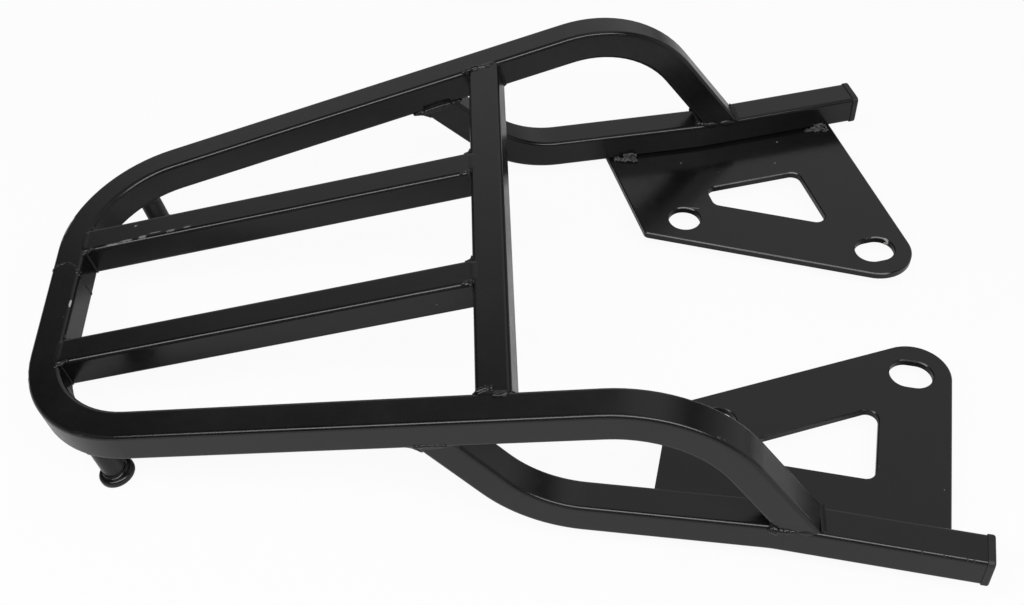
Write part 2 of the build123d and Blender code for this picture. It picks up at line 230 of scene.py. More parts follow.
# Curl of bare metal on the far wall of the left slot, the way that wall faces, and how the light bare steel
# shows on it, which also paints the curl's glint
SLOT_BURR = (
    (0.20668, 0.05173, 0.0138), (0.20801, 0.05079, 0.0138), (0.20875, 0.05006, 0.0127),
    (0.20833, 0.05048, 0.0113), (0.20731, 0.05133, 0.0110),
)
SLOT_FACING = Vector((-0.643, -0.766, 0))
BURR_SETTLED = 2
BURR_GLINT_REACH = (0.006, 0.006, 0.006)
BURR_GLINT_GRAIN = 3.0
BURR_GLINT_FILL = 0.95
# Solids in plain paint, without marks
PLAIN_NODES = (
    "crossbar", "slat_right", "side_tube_left", "side_tube_right", "cord_peg_left", "cord_peg_right",
)

# Noise in the finishes: scale, detail and roughness. Most of a noise lies in the middle range
CLOUD_NOISE = (24.0, 4.0, 0.6)
GRAIN_NOISE = (240.0, 3.0, 0.6)
PEEL_NOISE = (620.0, 2.0, 0.5)
BURR_NOISE = (1500.0, 3.0, 0.6)
CAP_CLOUD_NOISE = (60.0, 3.0)
CAP_GRAIN_NOISE = (1800.0, 2.0)
MIDDLE = (0.3, 0.7)
HAZY = (0.35, 0.7)
# Range of the noise where tack metal turns lighter: rough metal, and painted glints over it
SPATTER_GLINT_RANGE = (0.44, 0.60)
CLOUD_GLOSS = 0.05
GRAIN_GLOSS = 0.03
# Patches of wear: where they fade out, the noise that eats them and the softness of the edge it leaves
PATCH_FADE = (1.0, 0.3)
PATCH_NOISE = (4.0, 0.65)
PATCH_SOFT = 0.06
# Specks of dust: cells in a metre, size in a cell and share of the cells
STEEL_SPECKS = (150.0, 0.05, 0.05)
CAP_SPECKS = (240.0, 0.07, 0.08)
SPECK_FADE = 0.5
# How much duller specks and marks are, strength of the bumps, and the faded parts and the gloss of the caps
SPECK_MATT = 0.3
MARK_MATT = 0.15
PAINT_BUMP = 0.35
CAP_BUMP = 0.4
CAP_BUMP_DEPTH = 0.0001
CAP_FADE = 1.5
CAP_ROUGH = (0.46, 0.58)

# Stage: floor, softbox behind the camera, and the sky that the paint reflects
FLOOR_RADIUS = 9
FLOOR_SIDES = 96
FLOOR_LEVEL = -0.0002
KEY_PLACE = (-0.10, -0.66, 1.02)
KEY_AIM = (0, -0.15, 0.03)
KEY_SIZE = (2.2, 0.40)
SENSOR = 36
SKY_SLOPE = 1.5
SKY_EDGE = (-1.445, -1.125)
# Dark flags in the sky, by axis, dark end, light end and what is left in the dark
SKY_FLAGS = (("X", -0.58, -0.46, 0.0), ("X", 0.62, 0.36, 0.0), ("Y", -0.15, 0.25, 0.3))
# Light cards added to the sky, by axis, start, end and level
SKY_CARDS = (("X", 0.60, 0.92, 0.9), ("X", -0.72, -0.92, 0.35), ("Z", 0.82, 0.90, 0.4))


class RackPaint(PropertyGroup):
    """Paint, dust and bare metal on the steel, the colour of the caps, and lighter colours that also paint
    glints on the tacks and on a burr.
    """

    color: FloatVectorProperty(
        name="Paint", description="Black of the paint", subtype="COLOR", size=3,
        default=(0.0042, 0.0042, 0.0044),
    )
    haze: FloatVectorProperty(
        name="Haze", description="Greyer black in worn places", subtype="COLOR", size=3,
        default=(0.0060, 0.0060, 0.0062),
    )
    dust: FloatVectorProperty(
        name="Dust", description="Colour of dust and scuffs", subtype="COLOR", size=3,
        default=(0.16, 0.16, 0.155),
    )
    # Also laid over the slot's burr, where this light colour is partly a painted glint
    steel: FloatVectorProperty(
        name="Bare steel", description="Steel under a chip", subtype="COLOR", size=3,
        default=(0.32, 0.31, 0.30),
    )
    plastic: FloatVectorProperty(
        name="Caps", description="Black of the end caps", subtype="COLOR", size=3,
        default=(0.012, 0.012, 0.0125),
    )
    # Painted glint: a lighter grey speckled over tack metal, partly its rough metal and partly standing in
    # for the sparkle its facets catch
    spatter_and_glint: FloatVectorProperty(
        name="Spatter", description="Coarse metal of a tack", subtype="COLOR", size=3,
        default=(0.085, 0.084, 0.082),
    )
    roughness: FloatProperty(
        name="Roughness", description="Gloss of the paint", subtype="FACTOR", default=0.21
    )
    specular: FloatProperty(
        name="Specular", description="Strength of the paint's reflection", subtype="FACTOR", default=0.40
    )
    peel: FloatProperty(
        name="Orange peel", description="Depth of the paint texture", unit="LENGTH", default=0.00004
    )


class RackWelds(PropertyGroup):
    """Size and texture of the weld beads."""

    bead: FloatProperty(name="Bead", description="Leg of a web in a corner", unit="LENGTH", default=0.0025)
    pitch: FloatProperty(
        name="Ripple", description="Distance between ripples", unit="LENGTH", default=0.0017
    )
    dressed: FloatProperty(
        name="Dressed", description="Weld left proud of the deck's top", unit="LENGTH", default=0.00025
    )
    grain: FloatProperty(name="Grain", description="Size of the roughness", unit="LENGTH", default=0.0010)
    burr: FloatProperty(
        name="Burr", description="Depth of the texture on a bead", unit="LENGTH", default=0.00008
    )
    tack_burr: FloatProperty(
        name="Tack burr", description="Depth of the texture on a tack", unit="LENGTH", default=0.0012
    )
    matt: FloatProperty(
        name="Matt", description="How much duller the paint is on weld metal", subtype="FACTOR", default=0.14
    )
    voxel: FloatProperty(name="Voxel", description="Mesh size of the beads", unit="LENGTH", default=0.00030)
    seed: IntProperty(name="Seed", description="Start of the uneven ripples", default=7)


class RackStage(PropertyGroup):
    """Camera, floor, lamp and sky."""

    camera: FloatVectorProperty(
        name="Camera", description="Where the camera stands", subtype="TRANSLATION", size=3,
        default=(-0.00888, -0.52407, 0.55522),
    )
    aim: FloatVectorProperty(
        name="Aim", description="Point in the middle of the picture", subtype="TRANSLATION", size=3,
        default=(0.00859, -0.00779, 0.03237),
    )
    roll: FloatProperty(
        name="Roll", description="Turn about the view", subtype="ANGLE", default=math.radians(0.137)
    )
    lens: FloatProperty(name="Lens", description="Focal length", unit="CAMERA", default=52.93)
    floor: FloatVectorProperty(
        name="Floor", description="White of the floor", subtype="COLOR", size=3,
        default=(0.65, 0.65, 0.65),
    )
    glow: FloatProperty(
        name="Glow", description="Share of plain white in the floor as seen", subtype="FACTOR", default=0.94
    )
    key_power: FloatProperty(name="Key", description="Softbox behind the camera", unit="POWER", default=21.0)
    sky_dark: FloatProperty(
        name="Dark part", description="Sky to either side", subtype="FACTOR", default=0.012
    )
    sky_light: FloatProperty(
        name="Light part", description="Sky opposite the camera", subtype="FACTOR", default=0.66
    )


def settings(group):
    """One of the three groups of sizes and colours on the scene."""
    return getattr(bpy.context.scene, group)


# Finishes


def add_node(tree, kind, **values):
    """A shader node with its properties and unlinked inputs set by name."""
    node = tree.nodes.new(kind)
    for key, value in values.items():
        if hasattr(node, key):
            setattr(node, key, value)
        else:
            node.inputs[key.replace("_", " ").title()].default_value = value
    return node


def noise(tree, coords, scale, detail=2.0, roughness=0.5):
    """Fractal noise in object space."""
    node = add_node(tree, "ShaderNodeTexNoise", scale=scale, detail=detail, roughness=roughness)
    tree.links.new(coords, node.inputs["Vector"])
    return node.outputs["Fac"]


def ramp(tree, value, low, high, to_low=0.0, to_high=1.0):
    """A value stretched from one range to another, and held inside it."""
    node = add_node(tree, "ShaderNodeMapRange", clamp=True)
    for key, number in (("From Min", low), ("From Max", high), ("To Min", to_low), ("To Max", to_high)):
        node.inputs[key].default_value = number
    tree.links.new(value, node.inputs["Value"])
    return node.outputs["Result"]


def math_node(tree, operation, first, second):
    """Two sockets, or a socket and a number, joined by arithmetic."""
    node = add_node(tree, "ShaderNodeMath", operation=operation)
    for socket, value in zip(node.inputs, (first, second)):
        if isinstance(value, (int, float)):
            socket.default_value = value
        else:
            tree.links.new(value, socket)
    return node.outputs["Value"]


def blend(tree, factor, first, second):
    """Two colours mixed by a mask. Each is a socket or a colour."""
    node = add_node(tree, "ShaderNodeMix", data_type="RGBA")
    tree.links.new(factor, node.inputs["Factor"])
    for socket, value in zip((node.inputs[6], node.inputs[7]), (first, second)):
        if isinstance(value, bpy.types.NodeSocket):
            tree.links.new(value, socket)
        else:
            socket.default_value = (*value, 1)
    return node.outputs[2]


def specks(tree, coords, cells, size, share):
    """Mask of small round specks in some of the cells of a random pattern."""
    cell = add_node(tree, "ShaderNodeTexVoronoi", scale=cells)
    tree.links.new(coords, cell.inputs["Vector"])
    dot = ramp(tree, cell.outputs["Distance"], size, size * SPECK_FADE)
    pick = add_node(tree, "ShaderNodeSeparateColor")
    tree.links.new(cell.outputs["Color"], pick.inputs["Color"])
    return math_node(tree, "MULTIPLY", dot, math_node(tree, "GREATER_THAN", pick.outputs["Red"], 1 - share))


def patch(tree, coords, centre, turn, reach, grain, fill):
    """Mask of a rough-edged patch: an ellipsoid about a point, eaten away by noise stretched with it."""
    place = add_node(tree, "ShaderNodeMapping", vector_type="TEXTURE")
    place.inputs["Location"].default_value = centre
    place.inputs["Rotation"].default_value = turn
    place.inputs["Scale"].default_value = reach
    tree.links.new(coords, place.inputs["Vector"])
    span = add_node(tree, "ShaderNodeVectorMath", operation="LENGTH")
    tree.links.new(place.outputs["Vector"], span.inputs[0])
    near = ramp(tree, span.outputs["Value"], *PATCH_FADE, 0.0, fill)
    broken = noise(tree, place.outputs["Vector"], grain, *PATCH_NOISE)
    return ramp(tree, math_node(tree, "SUBTRACT", near, broken), 0.0, PATCH_SOFT)


def paint(name, marks=(), burr=0.0, coarse_and_glinting=False):
    """Satin black paint: orange peel, faint haze, dust specks and the given marks, rougher on welds, and on
    tacks lighter specks that are partly painted glints.
    """
    look = settings("rack_paint")
    material = bpy.data.materials.new(name)
    material.use_nodes = True
    tree = material.node_tree
    shader = tree.nodes["Principled BSDF"]
    shader.inputs["Specular IOR Level"].default_value = look.specular
    coords = add_node(tree, "ShaderNodeTexCoord").outputs["Object"]
    cloud = noise(tree, coords, *CLOUD_NOISE)
    grain = noise(tree, coords, *GRAIN_NOISE)
    skin = noise(tree, coords, *(BURR_NOISE if burr else PEEL_NOISE))
    color = blend(tree, ramp(tree, cloud, *HAZY), look.color, look.haze)
    # On tacks a lighter grey is speckled in: rough metal, and a painted glint in place of light caught by its
    # facets
    if coarse_and_glinting:
        color = blend(tree, ramp(tree, skin, *SPATTER_GLINT_RANGE), color, look.spatter_and_glint)
    gloss = look.roughness + (settings("rack_welds").matt if burr else 0.0)
    uneven = ramp(tree, cloud, *MIDDLE, gloss - CLOUD_GLOSS, gloss + CLOUD_GLOSS)
    rough = math_node(tree, "ADD", uneven, ramp(tree, grain, *MIDDLE, -GRAIN_GLOSS, GRAIN_GLOSS))
    dusty = specks(tree, coords, *STEEL_SPECKS)
    color = blend(tree, dusty, color, look.dust)
    rough = math_node(tree, "ADD", rough, math_node(tree, "MULTIPLY", dusty, SPECK_MATT))
    for tint, mask in marks:
        shape = patch(tree, coords, *mask)
        color = blend(tree, shape, color, getattr(look, tint))
        rough = math_node(tree, "ADD", rough, math_node(tree, "MULTIPLY", shape, MARK_MATT))
    tree.links.new(color, shader.inputs["Base Color"])
    tree.links.new(rough, shader.inputs["Roughness"])
    bump = add_node(tree, "ShaderNodeBump", strength=PAINT_BUMP, distance=burr or look.peel)
    tree.links.new(skin, bump.inputs["Height"])
    tree.links.new(bump.outputs["Normal"], shader.inputs["Normal"])
    return material


def cap_plastic():
    """Moulded black plastic with a fine matt grain."""
    look = settings("rack_paint")
    material = bpy.data.materials.new("cap_plastic")
    material.use_nodes = True
    tree = material.node_tree
    shader = tree.nodes["Principled BSDF"]
    shader.inputs["Specular IOR Level"].default_value = look.specular
    coords = add_node(tree, "ShaderNodeTexCoord").outputs["Object"]
    cloud = noise(tree, coords, *CAP_CLOUD_NOISE)
    lighter = [channel * CAP_FADE for channel in look.plastic]
    color = blend(tree, ramp(tree, cloud, *HAZY), look.plastic, lighter)
    color = blend(tree, specks(tree, coords, *CAP_SPECKS), color, look.dust)
    tree.links.new(color, shader.inputs["Base Color"])
    grain = noise(tree, coords, *CAP_GRAIN_NOISE)
    tree.links.new(ramp(tree, grain, *MIDDLE, *CAP_ROUGH), shader.inputs["Roughness"])
    bump = add_node(tree, "ShaderNodeBump", strength=CAP_BUMP, distance=CAP_BUMP_DEPTH)
    tree.links.new(grain, bump.inputs["Height"])
    tree.links.new(bump.outputs["Normal"], shader.inputs["Normal"])
    return material


def finish_node(name, material):
    """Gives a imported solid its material."""
    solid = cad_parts[name]
    solid.data.materials.clear()
    solid.data.materials.append(material)


# Weld beads


def on_deck(u, v, w):
    """A point by its distances along, across and above the deck's axis plane."""
    return REAR_BAR + DECK_X * u + DECK_Y * v + DECK_Z * w


def drop(centre, along, out, radii):
    """One ripple of weld metal: an ellipsoid by its centre, its run, its outward side and three radii."""
    along = along.normalized()
    out = (out - along * out.dot(along)).normalized()
    long, wide, tall = radii
    return "drop", centre, along, out, (wide, long, tall)


def prism(start, end, toward, tip, root, half_width):
    """A three-sided prism along a line, by the heights of its sharp edge and of its base over the line."""
    # The triangle of radius 1 that Blender adds is 1.5 tall and sqrt(3) wide
    tall = (tip - root) / 1.5
    centre = (start + end) / 2 + toward * (tip - tall)
    run = end - start
    return "prism", centre, toward, run.normalized(), (half_width * 2 / math.sqrt(3), tall, run.length / 2)


def web(start, end, face_a, face_b, leg):
    """A smooth hollow web in an inside corner: a core in the corner and a feather along either face."""
    core = leg * WEB_CORE
    open_way = face_a + face_b
    half_width = core * (face_a - face_b).length / 2
    yield prism(start, end, -open_way.normalized(), WEB_SINK, -core * open_way.length / 2, half_width)
    for face in (face_a, face_b):
        yield prism(start, end, face, leg, leg * WEB_FEATHER_FOOT, leg * WEB_FEATHER_WIDTH)


def stations(start, end, pitch, overlap):
    """Centres of ripples along a line, and their half length, so that the ripples end where the line does."""
    run = end - start
    half = min(pitch * overlap, run.length / 2)
    inset = run.normalized() * half
    steps = max(1, round((run.length - 2 * half) / pitch))
    return [(start + inset).lerp(end - inset, step / steps) for step in range(steps + 1)], half


def flat_bead(rng, start, end, out, pitch, width, proud, depth, uneven, taper=0.0):
    """A low bead across a flush face: the drops are sunk, and only their tops stand proud."""
    along = (end - start).normalized()
    across = along.cross(out)
    centres, half = stations(start, end, pitch / 2, FLAT_OVERLAP)
    for step, centre in enumerate(centres):
        middle = 1 - taper * (2 * step / max(1, len(centres) - 1) - 1) ** 2
        spot = centre + across * rng.uniform(-uneven, uneven) * width * FLAT_WANDER
        top = proud * middle * rng.uniform(1 - uneven, 1 + uneven)
        radii = (half, width * middle * rng.uniform(1 - uneven / 2, 1 + uneven / 2), depth)
        yield drop(spot + out * (top - depth), along, out, radii)


def rope(rng, points, out, width, proud, step, uneven=0.3):
    """A raised ripple that follows a line of points on a face."""
    for first, second in zip(points, points[1:]):
        count = max(1, round((second - first).length / step))
        for index in range(count):
            size = rng.uniform(1 - uneven, 1 + uneven)
            spot = first.lerp(second, (index + 0.5) / count) + out * (proud * size - width)
            yield drop(spot, second - first, out, (step * ROPE_OVERLAP, width * size, width))


def blobs(rng, spots, out, size):
    """Single lumps of weld metal or paint, each on its own spot."""
    for spot in spots:
        run = out.orthogonal()
        radius = size * rng.uniform(*LUMP_SIZES)
        yield drop(spot, run, out, (radius * rng.uniform(*LUMP_LENGTHS), radius, radius * LUMP_HEIGHT))


def lay_weld(name, drops, side, node=None, rough=0.0, settled=5, finish="weld_paint"):
    """Fuses drops and prisms into one bead, which takes the place of a packed collar where one is named."""
    welds = settings("rack_welds")
    bpy.ops.object.select_all(action="DESELECT")
    piece = None
    for shape, centre, along, out, scale in drops:
        centre, along, out = (Vector((v.x, v.y * side, v.z)) for v in (centre, along, out))
        turn = Matrix((along.cross(out), along, out)).transposed().to_euler()
        place = {"location": centre, "rotation": turn, "scale": scale}
        if shape == "prism":
            bpy.ops.mesh.primitive_cylinder_add(vertices=3, radius=1, depth=2, **place)
        else:
            bpy.ops.mesh.primitive_uv_sphere_add(
                segments=DROP_SEGMENTS, ring_count=DROP_RINGS, radius=1, **place
            )
        if piece is None:
            piece = bpy.context.object
            piece.name = name
            piece.data.name = name
            bpy.ops.object.transform_apply(location=True, rotation=True, scale=True)
            bpy.ops.object.mode_set(mode="EDIT")
    bpy.ops.object.mode_set(mode="OBJECT")
    fuse = piece.modifiers.new("fuse", "REMESH")
    fuse.mode = "VOXEL"
    fuse.voxel_size = welds.voxel
    settle = piece.modifiers.new("settle", "SMOOTH")
    settle.factor = 0.5
    settle.iterations = settled
    if rough:
        crumple = piece.modifiers.new("crumple", "DISPLACE")
        crumple.texture = crumple_texture()
        crumple.texture_coords = "LOCAL"
        crumple.mid_level = 0.5
        crumple.strength = rough
    for modifier in [modifier.name for modifier in piece.modifiers]:
        bpy.ops.object.modifier_apply(modifier=modifier)
    bpy.ops.object.shade_smooth()
    piece.data.materials.clear()
    piece.data.materials.append(weld_material(finish))
    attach(piece, "root")
    if node:
        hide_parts(node)


def crumple_texture():
    """Clouds that roughen the weld metal, made once."""
    clouds = bpy.data.textures.get("weld_clouds")
    if not clouds:
        clouds = bpy.data.textures.new("weld_clouds", "CLOUDS")
        clouds.noise_scale = settings("rack_welds").grain
        clouds.noise_depth = 2
    return clouds


def weld_rng(*words):
    """The same uneven ripples in every run, different for each joint."""
    return random.Random(f"{settings('rack_welds').seed} {words}")


def weld_material(name):
    """Paint over weld metal, made once: fine on beads, rougher on tacks, with lighter specks there that are
    partly painted glints.
    """
    welds = settings("rack_welds")
    coarse_and_glinting = name == "tack_paint_glinting"
    burr = welds.tack_burr if coarse_and_glinting else welds.burr
    return bpy.data.materials.get(name) or paint(name, burr=burr, coarse_and_glinting=coarse_and_glinting)


class RACK_OT_paint_steel(Operator):
    """Paint the hoop, crossbar, slats, side tubes, plates and pegs"""

    bl_idname = "rack.paint_steel"
    bl_label = "Paint steel"

    def execute(self, context):
        plain = paint("satin_black")
        for name in PLAIN_NODES:
            finish_node(name, plain)
        tilt = (0, -DECK_PITCH, 0)
        chip = (on_deck(*CHIP_PLACE), tilt, CHIP_REACH, CHIP_GRAIN, CHIP_FILL)
        finish_node("main_hoop", paint("satin_black_hoop", (("steel", chip),)))
        marks = []
        for u, v, long, wide, fill in SLAT_SCUFFS:
            centre = on_deck(u, v, HALF - SCUFF_SINK)
            marks.append(("dust", (centre, tilt, (long, wide, SCUFF_DEPTH), SCUFF_GRAIN, fill)))
        finish_node("slat_left", paint("satin_black_slat", marks))
        marks = []
        for x, y, turn, long, wide in PLATE_MARKS:
            reach = (long, wide, MARK_DEPTH)
            marks.append(("dust", ((x, y, PLATE_TOP), (0, 0, turn), reach, MARK_GRAIN, MARK_FILL)))
        plates = paint("satin_black_plate", marks)
        for side in SIDES:
            finish_node(f"mount_plate_{side}", plates)
        return {"FINISHED"}


class RACK_OT_fit_caps(Operator):
    """Give the end caps their plastic"""

    bl_idname = "rack.fit_caps"
    bl_label = "End caps"

    def execute(self, context):
        plastic = cap_plastic()
        for side in SIDES:
            finish_node(f"end_cap_{side}", plastic)
        return {"FINISHED"}


class RACK_OT_weld_slats(Operator):
    """Weld both ends of the slats: webs at the sides, dressed beads across top and bottom, and a curl"""

    bl_idname = "rack.weld_slats"
    bl_label = "Slat welds"

    def execute(self, context):
        welds = settings("rack_welds")
        for side, sign in SIDES.items():
            for end, reach, facing in (("front", CROSSBAR_REACH - HALF, -1), ("rear", HALF, 1)):
                rng = weld_rng("slat", end, side)
                drops = []
                for edge in (1, -1):
                    v = SLAT_OFFSET + edge * HALF
                    u = reach
                    if end == "rear" and v > BEND_START:
                        inner = REAR_BEND - HALF
                        u = REAR_BEND - math.sqrt(inner**2 - (v - BEND_START) ** 2)
                    leg = welds.bead * (SLAT_FAR_WEB if edge == sign else SLAT_NEAR_WEBS[end])
                    top, foot = (on_deck(u, v, level * (HALF - WEB_INSET)) for level in (1, -1))
                    drops += web(top, foot, DECK_X * facing, DECK_Y * edge, leg)
                groove = reach - facing * EDGE / 2
                for face in (1, -1):
                    drops += flat_bead(
                        rng, on_deck(groove, SLAT_OFFSET - HALF, face * HALF),
                        on_deck(groove, SLAT_OFFSET + HALF, face * HALF), DECK_Z * face,
                        welds.pitch, PAD_WIDTH, welds.dressed, PAD_DEPTH, PAD_UNEVEN,
                    )
                near = SLAT_OFFSET - sign * HALF
                curl = [on_deck(reach + run, near + sign * inset, HALF) for run, inset in SLAT_CURLS[end]]
                drops += rope(rng, curl, DECK_Z, *CURL_ROPE)
                lay_weld(f"slat_{end}_bead_{side}", drops, sign, f"weld_slat_{end}_{side}")
        return {"FINISHED"}


class RACK_OT_weld_crossbar(Operator):
    """Weld the crossbar between the arms: webs, dressed beads and a ridge or two on top"""

    bl_idname = "rack.weld_crossbar"
    bl_label = "Crossbar welds"

    def execute(self, context):
        welds = settings("rack_welds")
        for side, sign in SIDES.items():
            rng = weld_rng("crossbar", side)
            drops = []
            ends = []
            for edge in (-1, 1):
                u = CROSSBAR_REACH + edge * HALF
                v = REAR_HALF_SPAN + ARM_SLOPE * u - HALF / math.cos(ARM_FLARE)
                ends.append((u, v))
                top, foot = (on_deck(u, v, level * (HALF - WEB_INSET)) for level in (1, -1))
                drops += web(top, foot, -DECK_Y, ARM_DIR * edge, welds.bead * CROSSBAR_WEB)
            for face in (1, -1):
                rear, front = (on_deck(u, v + EDGE / 2, face * HALF) for u, v in ends)
                drops += flat_bead(
                    rng, rear, front, DECK_Z * face,
                    welds.pitch, PAD_WIDTH, welds.dressed, PAD_DEPTH, PAD_UNEVEN,
                )
            for places in CROSSBAR_RIDGES[side]:
                ridge = [on_deck(u, v, HALF) for u, v in places]
                drops += rope(rng, ridge, DECK_Z, *RIDGE_ROPE)
            lay_weld(f"crossbar_bead_{side}", drops, sign, f"weld_crossbar_{side}")
        return {"FINISHED"}


class RACK_OT_weld_legs(Operator):
    """Weld the feet of the hoop's legs to the side tubes"""

    bl_idname = "rack.weld_legs"
    bl_label = "Leg welds"

    def execute(self, context):
        welds = settings("rack_welds")
        foot = KINK + FRONT_DIR * LEG_OFFSET + UP * HALF
        leg = (foot - on_deck(ARM_REACH, FRONT_HALF_SPAN, 0)).normalized()
        plan = Vector((leg.x, leg.y, 0)).normalized()
        across = UP.cross(plan)
        reach = HALF / -leg.z
        for side, sign in SIDES.items():
            rng = weld_rng("leg", side)
            width = across * (HALF - LEG_WEB_INSET)
            drops = []
            for end, full in LEG_WEBS:
                edge = foot + plan * end * reach
                drops += web(edge - width, edge + width, plan * end, -leg, welds.bead * full)
            for edge in (1, -1):
                out = across * edge
                line = foot + out * HALF - UP * LEG_LINE_DROP
                rear = line - plan * (reach + LEG_OVERRUN)
                drops += rope(rng, [rear, line - plan * reach * LEG_ROPE_END], out, *LEG_ROPE)
                middle = line - plan * reach * LEG_LENS_START
                drops += flat_bead(rng, middle, line + plan * reach, out, welds.pitch, *LEG_LENS)
                lump = rear - out * LEG_LUMP_IN + UP * LEG_LUMP_UP
                drops += blobs(rng, [lump, lump + plan * LEG_LUMP_STEP], out, LEG_LUMP)
            lay_weld(f"leg_bead_{side}", drops, sign, f"weld_leg_{side}", LEG_ROUGH)
        return {"FINISHED"}


class RACK_OT_weld_braces(Operator):
    """Weld the rising ends of the side tubes under the arms"""

    bl_idname = "rack.weld_braces"
    bl_label = "Brace welds"

    def execute(self, context):
        welds = settings("rack_welds")
        foot = KINK - REAR_DIR * REAR_LENGTH
        rise = UP * math.sin(BRACE_RISE) - REAR_DIR * math.cos(BRACE_RISE)
        underside = on_deck(0, 0, -HALF)
        top = foot + rise * ((underside - foot).dot(DECK_Z) / rise.dot(DECK_Z))
        across = DECK_Z.cross(ARM_DIR)
        reach = HALF / rise.dot(DECK_Z)
        for side, sign in SIDES.items():
            rng = weld_rng("brace", side)
            width = across * (HALF - WEB_INSET)
            drops = []
            for end, full in BRACE_WEBS:
                edge = top + ARM_DIR * end * reach
                drops += web(edge - width, edge + width, ARM_DIR * end, -rise, welds.bead * full)
            for edge in (1, -1):
                out = across * edge
                line = top + out * HALF + DECK_Z * BRACE_LINE_LIFT
                rear = line - ARM_DIR * (reach + BRACE_REAR_OVERRUN)
                front = line + ARM_DIR * (reach + BRACE_FRONT_OVERRUN)
                drops += flat_bead(rng, rear, front, out, welds.pitch, *BRACE_LENS)
                ridge = line + DECK_Z * BRACE_RIDGE_LIFT
                path = [
                    ridge - ARM_DIR * reach * BRACE_RIDGE_REAR, ridge + DECK_Z * BRACE_RIDGE_BOW,
                    ridge + ARM_DIR * reach * BRACE_RIDGE_FRONT,
                ]
                drops += rope(rng, path, out, *BRACE_ROPE)
            lay_weld(f"brace_bead_{side}", drops, sign, f"weld_brace_{side}")
        return {"FINISHED"}


class RACK_OT_weld_pegs(Operator):
    """Weld the cord pegs under the rear bends"""

    bl_idname = "rack.weld_pegs"
    bl_label = "Peg welds"

    def execute(self, context):
        welds = settings("rack_welds")
        root = on_deck(
            REAR_BEND * (1 - math.cos(PEG_TURN)), BEND_START + REAR_BEND * math.sin(PEG_TURN), -HALF
        )
        count = round(2 * math.pi * PEG_RADIUS / welds.pitch)
        for side, sign in SIDES.items():
            rng = weld_rng("peg", side)
            drops = []
            for step in range(count):
                turn = 2 * math.pi * step / count
                spoke = DECK_X * math.cos(turn) + DECK_Y * math.sin(turn)
                run = DECK_X * -math.sin(turn) + DECK_Y * math.cos(turn)
                size = PEG_BEAD * rng.uniform(*PEG_SIZES)
                spot = root + spoke * (PEG_RADIUS + PEG_BEAD_OUT)
                drops.append(drop(spot, run, spoke - DECK_Z, (welds.pitch * PEG_OVERLAP, size, size)))
            lay_weld(f"peg_bead_{side}", drops, sign, f"weld_peg_{side}")
        return {"FINISHED"}


class RACK_OT_tack_plates(Operator):
    """Tack the mounting plates to the inner sides of the side tubes"""

    bl_idname = "rack.tack_plates"
    bl_label = "Plate tacks"

    def execute(self, context):
        leg = settings("rack_welds").bead * TACK_WEB
        for side, sign in SIDES.items():
            for end, (run, heading) in TACK_PLACES.items():
                rng = weld_rng("tack", end, side)
                inward = heading.cross(UP)
                corner = KINK + heading * run + inward * HALF
                corner.z = PLATE_TOP
                rear, front = corner - heading * TACK_REAR, corner + heading * TACK_FRONT
                drops = list(web(rear, front, inward, UP, leg))
                for step in range(TACK_SHARDS):
                    share = step / (TACK_SHARDS - 1)
                    along = (share - 0.5) * TACK_LENGTH
                    grow = TACK_START_SIZE + TACK_GROWTH * share
                    out = rng.uniform(*TACK_REACH) * grow
                    lean = heading * rng.uniform(-TACK_LEAN, TACK_LEAN) + inward
                    lift = (TACK_HEIGHT * grow - out) * TACK_SLOPE + rng.uniform(*TACK_JITTER)
                    spot = corner + heading * along + inward * out + UP * lift
                    radii = tuple(rng.uniform(*limits) for limits in TACK_RADII)
                    drops.append(drop(spot, lean, UP + inward * rng.uniform(*TACK_FACING), radii))
                lay_weld(
                    f"plate_tack_{end}_{side}", drops, sign, f"weld_plate_{end}_{side}",
                    TACK_ROUGH, TACK_SETTLED, "tack_paint_glinting",
                )
        return {"FINISHED"}


class RACK_OT_weld_seam(Operator):
    """Close the hoop with a thin wavy seam round its rear bar"""

    bl_idname = "rack.weld_seam"
    bl_label = "Hoop seam"

    def execute(self, context):
        rng = weld_rng("seam")
        drops = []
        flat = TUBE - 2 * EDGE
        turn = EDGE * math.pi / 2
        count = round(4 * (flat + turn) / SEAM_STEP)
        for step in range(count):
            face, along = divmod(step / count * 4 * (flat + turn), flat + turn)
            bend = max(0.0, along - flat) / EDGE
            side = min(along, flat) - flat / 2 + EDGE * math.sin(bend)
            out = HALF - EDGE + EDGE * math.cos(bend)
            angle = face * math.pi / 2
            u = side * math.cos(angle) + out * math.sin(angle)
            w = out * math.cos(angle) - side * math.sin(angle)
            away = angle + bend
            normal = DECK_X * math.sin(away) + DECK_Z * math.cos(away)
            run = DECK_X * math.cos(away) - DECK_Z * math.sin(away)
            size = SEAM_SIZE * rng.uniform(*SEAM_SIZES)
            wander = rng.uniform(-SEAM_WANDER, SEAM_WANDER)
            spot = on_deck(u, self.place(u) + wander, w) - normal * SEAM_SINK
            drops.append(drop(spot, run, normal, (size * SEAM_OVERLAP, size, size)))
        lump = on_deck(SEAM_LUMP_ALONG, self.place(SEAM_LUMP_ALONG), SEAM_LUMP_LEVEL)
        drops += blobs(rng, [lump], DECK_X + DECK_Z, SEAM_LUMP)
        lay_weld("hoop_seam", drops, 1, "weld_hoop_seam")
        return {"FINISHED"}

    def place(self, u):
        """Where the seam crosses the rear bar, a bow across its top."""
        level, slope, bow = SEAM_BOW
        return level + slope * u + bow * u * u


